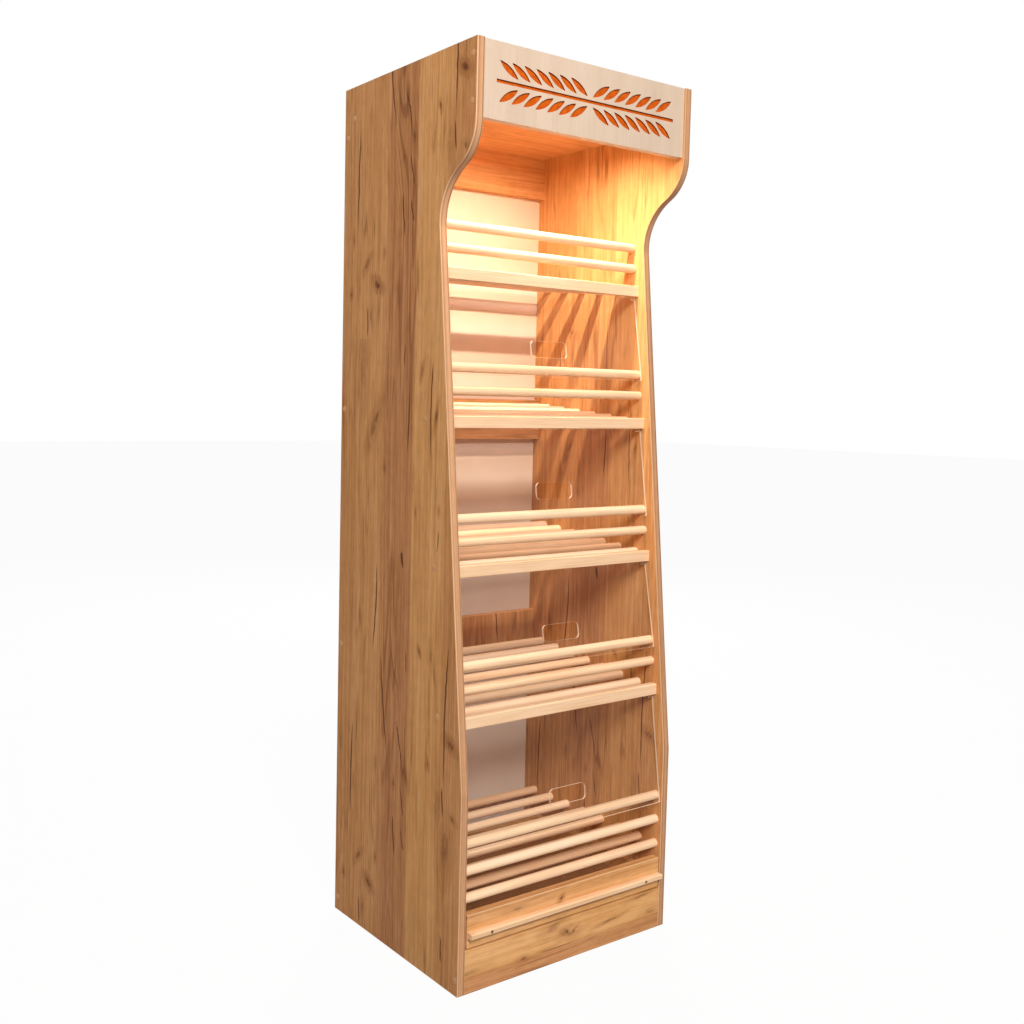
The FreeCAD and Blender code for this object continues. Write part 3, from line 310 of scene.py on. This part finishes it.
def oakDecor(place, across, along, markPlane, knots, splits=(), lift=0.0, paintedWash=0.0):
    # colour, height and roughness of the laminate, from metres across and along its grain;
    # the last argument is 1 where the print is painted pale and nearly markless to stand for lamp light
    # washing over the face, and lift makes the whole print lighter
    a = across.wrap(*oak["width"])
    wander = place.noise(across * 2.2, along * 1.6, 4.0) - 0.5
    markA = (place.noise(along * 34, across * 20, 9.0, 2.0) - 0.5).timesPlus(0.0052, markPlane[0])
    markV = (place.noise(across * 160, along * 30, 2.0) - 0.5).timesPlus(0.016, markPlane[1])
    bent = oak["bent"] if splits else 0
    core, halo, push = knotMarks(place, markA, markV, knots, bent, wander * 0.016)
    split = splitMarks(place, markA, markV, splits)
    lightness, redness, figure = plankTones(a, wander)
    if splits:
        # painted light: a paler, less red print with fewer marks where lamp light washes over the face
        lightness, redness = lightness + paintedWash * (0.58 - lightness), redness * (1 - paintedWash * 0.75)
        marked = 1 - paintedWash * 0.85
        core, halo, split, figure = core * marked, halo * marked, split * marked, figure * marked
    raw = across - push
    seed = a.above(oak["planks"][2][0]) * 6.0

    def layer(name):
        scaleAcross, scaleAlong, offset, detail, roughness, own = oak["layers"][name]
        third = seed + offset if own else offset
        return place.noise(raw * scaleAcross, along * scaleAlong, third, detail, roughness)

    figures = {name: layer(name) for name in oak["weights"]}
    flow = layer("flow")
    rings = (flow * 130).maths("SINE", flow * 130).fade(0.1, 1.0) * layer("ringsHere").fade(0.36, 0.62)
    pores = layer("pores").fade(0.58, 0.74)
    smoke = layer("smoke").fade(0.58, 0.76)
    vein = abs(layer("vein") - 0.5).fade(0.035, 0.004) * layer("veinHere").fade(0.50, 0.68)
    fibre = figures["fibre"]

    value = lightness - rings * (figure * 0.22 + 0.05) - smoke * 0.20 + lift
    for name, weight in oak["weights"].items():
        value = value + (figures[name] - 0.5) * weight
    redder = (redness + (figures["patches"] - 0.5) * 1.3 + (figures["cloud"] - 0.5) * 1.3).clip()
    colour = redder.mix(value.ramp(*oak["tan"]), value.ramp(*oak["red"]))
    colour = (halo * 0.50).mix(colour, oak["stain"])
    colour = (pores * 0.26).mix(colour, oak["dark"])
    colour = (vein * 0.5).mix(colour, oak["dark"])
    core = core * layer("crumb").fade(0.22, 0.60)
    deep = core * 0.95
    height = fibre * 0.5 - pores * 0.6 - core * 0.7 - rings * 0.3
    if splits:
        broken = place.noise(along * 11, across * 40, 1.5).fade(0.26, 0.46)
        split = (split * (broken * 0.4 + 0.7)).fade(0.0, 0.7)
        deep = deep.larger(split * 0.95)
        height = height - split * 1.6
    colour = deep.mix(colour, oak["dark"])
    return colour, height, 0.56 + fibre * 0.14 - deep * 0.1


panelLow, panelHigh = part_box("left_side_panel")
outerX = -panelLow.x                    # the right panel's outer face; the left one's is at -outerX
thick = panelHigh.x - panelLow.x

upright = {
    "rightShift": (-0.59, 0.07),        # across and along, from the left panel's print to the right's
    "paintedWashAbove": (1.30, 1.44, 0.6),     # painted light: the right panel's print grows paler and plainer between these heights, so much, for the strip lamp's light washing over it
    "paintedWashInside": (0.295, 0.4),         # and is paler and plainer on its inner side, up to this X, so much, painted for the light and sheen on that face
}


def uprightOak():
    # side panels and the low crosspiece, whose grain runs up
    material, place = newMaterial("oakUpright")
    x, y, z = place.parts()
    right = x.above(0.0)
    shiftAcross, shiftAlong = upright["rightShift"]
    across, along = x + y + outerX + right * shiftAcross, z + right * shiftAlong
    plane = across.wrap(*oak["width"]), along.wrap(0.0, oak["repeat"])
    innerEdge, innerPaintedWash = upright["paintedWashInside"]
    # painted light: how much the right panel's print is washed pale, higher up and on its inner side
    paintedWash = right * z.fade(*upright["paintedWashAbove"]) + right * (innerEdge - x).above(0.0) * innerPaintedWash
    colour, height, roughness = oakDecor(place, across, along, plane, oak["knots"], oak["splits"],
                                         paintedWash=paintedWash)
    return finish(material, surface(place, colour, roughness, height, oak["bump"]))


level = {
    "start": -0.2395,                   # across is this less the height and the Y of a place
    "lift": 0.16,
    "edgeHighlight": (0.1630, 0.1638, 0.170),     # heights where the painted highlight on the drawer front's top edge starts, is full, ends
    "edgeHighlightBefore": -0.2315,               # and the Y that it lies in front of
    "edgeHighlightShare": 0.8,
    "edgeHighlightTone": tone(246, 208, 164),
}


def levelOak():
    # boards whose grain runs from side to side, with a painted highlight along the drawer front's top edge
    material, place = newMaterial("oakLevel")
    x, y, z = place.parts()
    across = level["start"] - (z + y)
    colour, height, roughness = oakDecor(place, across, x, (z, x), oak["lowKnots"], lift=level["lift"])
    # painted highlight: a pale line along the drawer front's top front edge
    start, full, end = level["edgeHighlight"]
    edgeHighlight = z.fade(start, full) * (end - z).above(0.0) * (level["edgeHighlightBefore"] - y).above(0.0)
    colour = (edgeHighlight * level["edgeHighlightShare"]).mix(colour, level["edgeHighlightTone"])
    return finish(material, surface(place, colour, roughness, height, oak["bump"]))


edging = {
    "tones": [(0.22, tone(168, 120, 86)), (0.5, tone(200, 150, 110)), (0.8, tone(221, 175, 136))],
    # painted highlight along the bands' rims: its colour and share
    "rimHighlightTone": tone(238, 196, 152),
    "rimHighlightShare": 0.45,
    "seamTone": tone(138, 88, 58),
    "seamShare": 0.5,
    "roughness": 0.40,
    "bump": 0.0011,
}


def edgeMaterial():
    # thick plastic edging with its own print: lines that run along the edge, softly rounded sides, and a
    # painted highlight along the rims
    material, place = newMaterial("oakEdging")
    x, y, z = place.parts()
    right = x.above(0.0)
    t = (x - right * (2 * outerX - thick) + outerX) / thick    # 0 and 1 at the two sides of either band
    run = z + y * 0.6
    lines = place.noise(x * 520, run * 2.2, 3.0, 3.0, 0.6)
    broad = place.noise(x * 140, run * 1.4, 8.0, 1.0)
    mottle = place.noise(x * 60, run * 40, 5.0, 3.0, 0.6)
    value = lines * 0.5 + broad * 0.6 + mottle * 0.22 - right * 0.10 - 0.14
    # painted highlight: a pale line along each band's left rim, half as strong along its right rim
    rim = t.fade(0.13, 0.06).larger(t.fade(0.93, 0.98) * 0.5)
    colour = (rim * edging["rimHighlightShare"]).mix(value.ramp(*edging["tones"]), edging["rimHighlightTone"])
    seam = t.fade(0.17, 0.22) * t.fade(0.32, 0.25) + t.fade(0.78, 0.84) * t.fade(0.94, 0.88) * 0.8
    colour = (seam * edging["seamShare"]).mix(colour, edging["seamTone"])
    bulge = t.fade(0.0, 0.16) + t.fade(1.0, 0.84) + lines * 0.06
    return finish(material, surface(place, colour, edging["roughness"], bulge, edging["bump"]))


header = {
    "tones": [(0.30, tone(199, 176, 154)), (0.5, tone(209, 186, 164)), (0.7, tone(217, 195, 175))],
    "fleckTone": tone(194, 158, 130),
    "fleckShare": 0.22,
    "margin": 0.005,                    # grooves keep this far inside the board's outline
    "grooveDepth": (0.0002, 0.0007, 0.006),     # where the scorched colour starts, is full and ends
    "floorDepth": (0.0022, 0.0028),     # where a groove's wall turns to its floor
    "floorTones": [(0.3, tone(182, 74, 6)), (0.7, tone(212, 98, 16))],
    "wallTones": [(0.3, tone(104, 46, 12)), (0.7, tone(146, 68, 18))],
    "roughness": 0.62,
    "bump": 0.00012,
}


def birchMaterial():
    # pale veneer outside, scorched and stained in the cut grooves
    material, place = newMaterial("birchHeader")
    x, y, z = place.parts()
    fibre = place.noise(x * 420, y * 300, z * 14, 3.0, 0.6)
    flame = place.noise(x * 13, y * 8, z * 3.2, 3.0, 0.6)
    fleck = place.noise(x * 800, y * 500, z * 60, 1.0).fade(0.62, 0.75)
    veneer = (fibre * 0.35 + flame * 0.65).ramp(*header["tones"])
    veneer = (fleck * header["fleckShare"]).mix(veneer, header["fleckTone"])
    low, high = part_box("header_board")
    depth, margin = y - low.y, header["margin"]
    start, full, end = header["grooveDepth"]
    groove = depth.fade(start, full) * (end - depth).above(0.0)
    groove = groove * z.above(low.z + margin) * (high.z - margin - z).above(0.0)
    groove = groove * (high.x - margin - abs(x)).above(0.0)
    char = place.noise(x * 90, y * 90, z * 90, 3.0, 0.6)
    cut = depth.fade(*header["floorDepth"]).mix(char.ramp(*header["wallTones"]),
                                                char.ramp(*header["floorTones"]))
    colour = groove.mix(veneer, cut)
    return finish(material, surface(place, colour, header["roughness"], fibre, header["bump"]))


softwoods = {
    # knots is the share of places with a pin knot, spread how much one stick differs from the next
    "pineRail": {"knots": 0.30, "spread": 0.3, "tones": [
        (0.2, tone(226, 182, 138)), (0.5, tone(240, 202, 164)), (0.8, tone(248, 218, 186))]},
    "beechDowel": {"knots": 0.06, "spread": 0.8, "tones": [
        (0.2, tone(234, 186, 143)), (0.5, tone(247, 210, 172)), (0.8, tone(252, 224, 194))]},
}
pinKnot = {"tone": tone(104, 62, 38), "share": 0.9, "ringTone": tone(190, 128, 80), "ringShare": 0.35}


def softwood(name):
    # sticks along X: long fibres, soft growth lines, now and then a pin knot
    wood = softwoods[name]
    material, place = newMaterial(name)
    x, y, z = place.parts()
    bend = (place.noise(x * 2.5, y * 20, z * 20) - 0.5) * 0.006
    y, z = y + bend, z + bend
    grow = place.noise(x * 0.8, y * 55, z * 55, 1.0)
    lines = (grow * 60).maths("SINE", grow * 60).fade(-0.4, 1.0)
    fibre = place.noise(x * 9, y * 620, z * 620, 2.0, 0.6)
    cloud = place.noise(x * 5, y * 30, z * 30, 3.0, 0.6)
    batch = place.noise(y * 13, z * 13, 8.0, 0.0)
    value = 0.5 + (cloud - 0.5) * 0.5 + (fibre - 0.5) * 0.5 - lines * 0.12 + (batch - 0.5) * wood["spread"]
    spot = place.node("CombineXYZ", inputs={"X": x * 11, "Y": y * 14, "Z": z * 14})
    cells = place.node("TexVoronoi", inputs={"Vector": spot, "Scale": 1.0}, output="Distance")
    chance = place.node("RGBToBW", inputs={"Color": cells.other("Color")}).above(1 - wood["knots"])
    ring = cells.fade(0.30, 0.08) * chance * pinKnot["ringShare"]
    knot = cells.fade(0.085, 0.03) * chance * pinKnot["share"]
    colour = knot.mix(ring.mix(value.ramp(*wood["tones"]), pinKnot["ringTone"]), pinKnot["tone"])
    return finish(material, surface(place, colour, 0.44 + fibre * 0.12, fibre - lines * 0.4, 0.0001))


fibreboard = {
    "brown": [(0.3, tone(124, 84, 54)), (0.55, tone(158, 112, 76)), (0.75, tone(182, 138, 98))],
    "strandTone": tone(202, 162, 122),
    "strandShare": 0.35,
    "speckTone": tone(92, 58, 36),
    "speckShare": 0.30,
    "white": [(0.3, tone(224, 204, 186)), (0.7, tone(233, 214, 198))],
    "whiteRoughness": 0.34,
}


def fibreboardMaterial(name, lacquered):
    # thin board, bare and brown; the back panel's front side has white lacquer on it
    material, place = newMaterial(name)
    x, y, z = place.parts()
    grime = place.noise(x * 6, y * 6, z * 4, 4.0, 0.6)
    fluff = place.noise(x * 900, y * 900, z * 900, 3.0, 0.7) * 0.6 + grime * 0.4
    strand = place.noise(x * 190, y * 190, z * 150, 2.0).fade(0.60, 0.72)
    speck = place.noise(x * 330, y * 330, z * 300, 1.0).fade(0.34, 0.26)
    brown = fluff.ramp(*fibreboard["brown"])
    brown = (strand * fibreboard["strandShare"]).mix(brown, fibreboard["strandTone"])
    brown = (speck * fibreboard["speckShare"]).mix(brown, fibreboard["speckTone"])
    if not lacquered:
        return finish(material, surface(place, brown, 0.7 + fluff * 0.1, fluff, 0.00006))
    fine = place.noise(x * 500, y * 500, z * 500, 2.0)
    bare = place.other("Normal").parts()[1].above(0.5)     # 1 on the side that faces the wall
    colour = bare.mix(grime.ramp(*fibreboard["white"]), brown)
    roughness = bare * 0.4 + fibreboard["whiteRoughness"]
    return finish(material, surface(place, colour, roughness, fine, 0.00004))


flapSheet = {
    "clear": (0.985, 0.99, 0.988, 1),
    "shine": 0.007,             # share mirrored seen from straight ahead, with smears on top of it
    "smears": 0.014,
    "grazing": 0.7,             # and seen along the sheet
    "sawnTones": [(0.3, tone(250, 226, 196)), (0.7, tone(255, 240, 220))],
    "sawnShare": 0.6,
    "paintedGlow": tone(255, 220, 180),        # painted glow, standing for light that the sheet brings to its edges
    "paintedGlowStrength": 0.10,
}


def sheetMaterial():
    # clear acrylic: nearly unseen from the front, its sawn edges pale and frosted, with a painted glow
    material, place = newMaterial("clearAcrylic")
    x, y, z = place.parts()
    edge = 1 - abs(place.other("Normal").parts()[1]).above(0.6)
    saw = place.noise(x * 900, y * 900, z * 900, 2.0)
    smear = place.noise(x * 9, y * 9, z * 14, 3.0, 0.6)
    facing = place.node("LayerWeight", inputs={"Blend": 0.5}, output="Facing")
    behind = place.node("NewGeometry", output="Backfacing")
    mirrored = facing ** 5 * flapSheet["grazing"] + smear * flapSheet["smears"] + flapSheet["shine"]
    shine = mirrored * (1 - behind)
    clear = place.node("BsdfTransparent", inputs={"Color": flapSheet["clear"]})
    gloss = place.node("BsdfGlossy", inputs={"Color": (1, 1, 1, 1), "Roughness": 0.02 + smear * 0.04})
    # frosted sawn edges, with a painted glow: they give off a little light of their own
    frostAndGlow = surface(place, saw.ramp(*flapSheet["sawnTones"]), 0.5, Emission_Color=flapSheet["paintedGlow"],
                    Emission_Strength=flapSheet["paintedGlowStrength"])
    sawn = place.node("MixShader", inputs={0: flapSheet["sawnShare"], 1: clear, 2: frostAndGlow})
    return finish(material, edge.mixShaders(shine.mixShaders(clear, gloss), sawn))


metals = {
    # colour, roughness, scales of the brush marks along X, Y and Z
    "pinSteel": ((0.62, 0.62, 0.62, 1), 0.28, (8, 900, 900)),
    "zincScrew": ((0.66, 0.64, 0.58, 1), 0.34, (500, 500, 500)),
    "burnishedScrew": ((0.20, 0.11, 0.06, 1), 0.4, (500, 500, 500)),
    "galvanised": ((0.72, 0.73, 0.74, 1), 0.36, (900, 8, 900)),
    "anodised": ((0.78, 0.78, 0.8, 1), 0.32, (8, 900, 900)),
}


def metal(name):
    colour, roughness, scales = metals[name]
    material, place = newMaterial(name)
    x, y, z = place.parts()
    brush = place.noise(x * scales[0], y * scales[1], z * scales[2], 2.0, 0.6)
    mottle = place.noise(x * 40, y * 40, z * 40, 3.0, 0.6)
    darker = tuple(channel * 0.82 for channel in colour[:3]) + (1,)
    tint = (brush * 0.5 + mottle * 0.5).ramp((0.3, darker), (0.7, colour))
    return finish(material, surface(place, tint, roughness + mottle * 0.12, brush, 0.00003, Metallic=1.0))


plastics = {
    # darker tone, lighter tone, roughness
    "capPlastic": (tone(186, 130, 80), tone(210, 154, 100), 0.3),
    "greyPlastic": (tone(168, 168, 168), tone(186, 186, 186), 0.45),
    "driverCase": (tone(226, 226, 222), tone(238, 238, 235), 0.42),
    "inletPlastic": (tone(22, 22, 23), tone(36, 36, 38), 0.35),
    "wireJacket": (tone(214, 214, 212), tone(230, 230, 228), 0.5),
    "opalDiffuser": (tone(255, 236, 200), tone(255, 244, 220), 0.4),
}
diffuserGlow = {"Emission_Color": tone(255, 190, 110), "Emission_Strength": 3.0}


def plastic(name, **more):
    low, high, roughness = plastics[name]
    material, place = newMaterial(name)
    x, y, z = place.parts()
    grain = place.noise(x * 1400, y * 1400, z * 1400, 2.0)
    mottle = place.noise(x * 50, y * 50, z * 50, 3.0, 0.6)
    tint = (grain * 0.4 + mottle * 0.6).ramp((0.3, low), (0.7, high))
    return finish(material, surface(place, tint, roughness + mottle * 0.1, grain, 0.00006, 0.4, **more))


capPlastic = plastic("capPlastic")
driverCase = plastic("driverCase")
oakUpright = uprightOak()
oakLevel = levelOak()
slotFinishes = {
    "oak_edge": edgeMaterial(), "birch": birchMaterial(), "pine": softwood("pineRail"),
    "dowel_wood": softwood("beechDowel"), "white_board": fibreboardMaterial("whiteFibreboard", True),
    "clear_sheet": sheetMaterial(), "pin_steel": metal("pinSteel"), "cap": capPlastic,
    "screw_steel": metal("zincScrew"), "runner_steel": metal("galvanised"), "profile": metal("anodised"),
    "profile_cap": plastic("greyPlastic"), "diffuser": plastic("opalDiffuser", **diffuserGlow),
    "strip": driverCase, "driver_case": driverCase, "inlet": plastic("inletPlastic"),
    "wire": plastic("wireJacket"),
}
nodeFinishes = {
    "left_side_panel": oakUpright, "right_side_panel": oakUpright, "back_crosspiece_low": oakUpright,
    "drawer_bottom": fibreboardMaterial("bareFibreboard", False), "handle_screws": metal("burnishedScrew"),
}
print("materials made")

slots = {part["node"]: part["material_slot"] for part in frame["record"]["subparts"]}
for name, node in nodes.items():
    node.data.materials.clear()
    node.data.materials.append(nodeFinishes.get(name) or slotFinishes.get(slots[name], oakLevel))
print("materials assigned")


def addMesh(name, shape, material):
    mesh = bpy.data.meshes.new(name)
    shape.to_mesh(mesh)
    shape.free()
    mesh.materials.append(material)
    piece = bpy.data.objects.new(name, mesh)
    bpy.context.scene.collection.objects.link(piece)
    return piece


dome = {
    "rise": 0.00075,
    "segments": 32,
    "rings": 16,
    "rim": 0.0003,      # corners this near the discs' outer plane belong to their outer faces
    "apart": 0.02,      # corners nearer than this to each other are one cap's
}


def capGroups():
    # the corners of each flat cap's outer face, one list a cap
    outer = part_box("cover_caps")[1].x
    groups = []
    for corner in nodes["cover_caps"].data.vertices:
        if abs(corner.co.x) > outer - dome["rim"]:
            group = next((g for g in groups if (g[0] - corner.co).length < dome["apart"]), None)
            if group is None:
                group = []
                groups.append(group)
            group.append(corner.co.copy())
    return groups


def addDomes():
    # low domes of the flat caps' width, each on its own screw
    shape = bmesh.new()
    groups = capGroups()
    for group in groups:
        spans = [(min(co[axis] for co in group), max(co[axis] for co in group)) for axis in range(3)]
        x, y, z = [(low + high) / 2 for low, high in spans]
        radius = (spans[1][1] - spans[1][0]) / 2
        made = bmesh.ops.create_uvsphere(shape, u_segments=dome["segments"], v_segments=dome["rings"],
                                         radius=radius)
        flatten = Matrix.Diagonal((dome["rise"] / radius, 1, 1, 1))
        place = Matrix.Translation((math.copysign(outerX, x), y, z))
        bmesh.ops.transform(shape, matrix=place @ flatten, verts=made["verts"])
    for face in shape.faces:
        face.smooth = True
    print("cover caps domed:", len(groups))
    return addMesh("coverDomes", shape, capPlastic)


coverDomes = addDomes()
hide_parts("cover_caps")
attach(coverDomes, "rack")

stage = {
    "halfWidth": 30,
    "grey": (0.32, 0.32, 0.32, 1),      # the floor that light falls on
    "white": (1, 1, 1, 1),
    "whiteStrength": 1.035,
    "whiteShare": 0.93,                 # the rest keeps the object's shadow
    "air": (1, 0.97, 0.94, 1),          # light from all round
    "airStrength": 0.12,
}


def seenBright(place):
    # 1 for the rays that look at the surroundings: straight, mirrored or through glass
    rays = place.node("LightPath", output="Is Camera Ray")
    return rays.larger(rays.other("Is Glossy Ray").larger(rays.other("Is Transmission Ray")))


def addFloor():
    material, place = newMaterial("paleFloor")
    lit = place.node("BsdfDiffuse", inputs={"Color": stage["grey"]})
    white = place.node("Emission", inputs={"Color": stage["white"], "Strength": stage["whiteStrength"]})
    finish(material, (seenBright(place) * stage["whiteShare"]).mixShaders(lit, white))
    shape = bmesh.new()
    bmesh.ops.create_grid(shape, x_segments=1, y_segments=1, size=stage["halfWidth"])
    return addMesh("floor", shape, material)


def addWorld():
    world = bpy.data.worlds.new("studio")
    bpy.context.scene.world = world
    world.use_nodes = True
    world.node_tree.nodes.clear()
    air = Sock(world.node_tree, None)
    soft = air.node("Background", inputs={"Color": stage["air"], "Strength": stage["airStrength"]})
    bright = air.node("Background", inputs={"Color": stage["white"], "Strength": 1.0})
    finish(world, seenBright(air).mixShaders(soft, bright), "World")


floor = addFloor()
addWorld()

lamps = {
    # place, aim, size across and up, power, colour
    "keyLamp": ((-2.8, -5.9, 5.2), (0, 0, 0.5), (2.2, 2.2), 590, (1.0, 0.97, 0.94)),
    "backLamp": ((2.7, 3.7, 3.3), (0, 0, 0.9), (2.2, 2.2), 270, (1.0, 0.97, 0.94)),
    "sideLamp": ((-1.9, -1.8, 2.9), (-0.3, 0, 1.8), (1.0, 1.0), 24, (1.0, 0.97, 0.94)),
}
strip = {"power": 5.4, "colour": (1.0, 0.86, 0.66), "gap": 0.004, "length": 0.28, "tilt": 9,
         "spread": 158}         # gap below the diffuser; tilt towards the back and spread in degrees


def addLamp(name, size, power, colour):
    lamp = bpy.data.lights.new(name, "AREA")
    lamp.shape = "RECTANGLE"
    lamp.size, lamp.size_y = size
    lamp.energy = power
    lamp.color = colour
    holder = bpy.data.objects.new(name, lamp)
    bpy.context.scene.collection.objects.link(holder)
    return holder


def addStudioLamps():
    for name, (spot, aim, size, power, colour) in lamps.items():
        holder = addLamp(name, size, power, colour)
        holder.location = spot
        holder.rotation_euler = (Vector(aim) - Vector(spot)).to_track_quat("-Z", "Y").to_euler()


def addStripLamp():
    # the light that leaves the strip's diffuser
    low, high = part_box("led_diffuser")
    holder = addLamp("stripLamp", (strip["length"], high.y - low.y), strip["power"], strip["colour"])
    holder.data.spread = math.radians(strip["spread"])
    holder.location = ((low.x + high.x) / 2, (low.y + high.y) / 2, low.z - strip["gap"])
    holder.rotation_euler = (math.radians(strip["tilt"]), 0, 0)


addStudioLamps()
addStripLamp()

view = {"place": (-1.62986, -1.94604, 1.19196), "forward": (0.5624, 0.8240, -0.0687), "roll": 1.0,
        "lens": 38.98, "sensor": 36, "shift": (0.109, -0.029)}


def addCamera():
    eye = bpy.data.cameras.new("camera")
    eye.lens = view["lens"]
    eye.sensor_width = view["sensor"]
    eye.shift_x, eye.shift_y = view["shift"]
    camera = bpy.data.objects.new("camera", eye)
    roll = Quaternion((0, 0, 1), math.radians(view["roll"]))
    turn = Vector(view["forward"]).to_track_quat("-Z", "Y") @ roll
    camera.matrix_world = Matrix.Translation(view["place"]) @ turn.to_matrix().to_4x4()
    bpy.context.scene.collection.objects.link(camera)
    bpy.context.scene.camera = camera


addCamera()
bpy.context.scene.view_settings.view_transform = "Standard"
print("stage, lamps and camera placed")
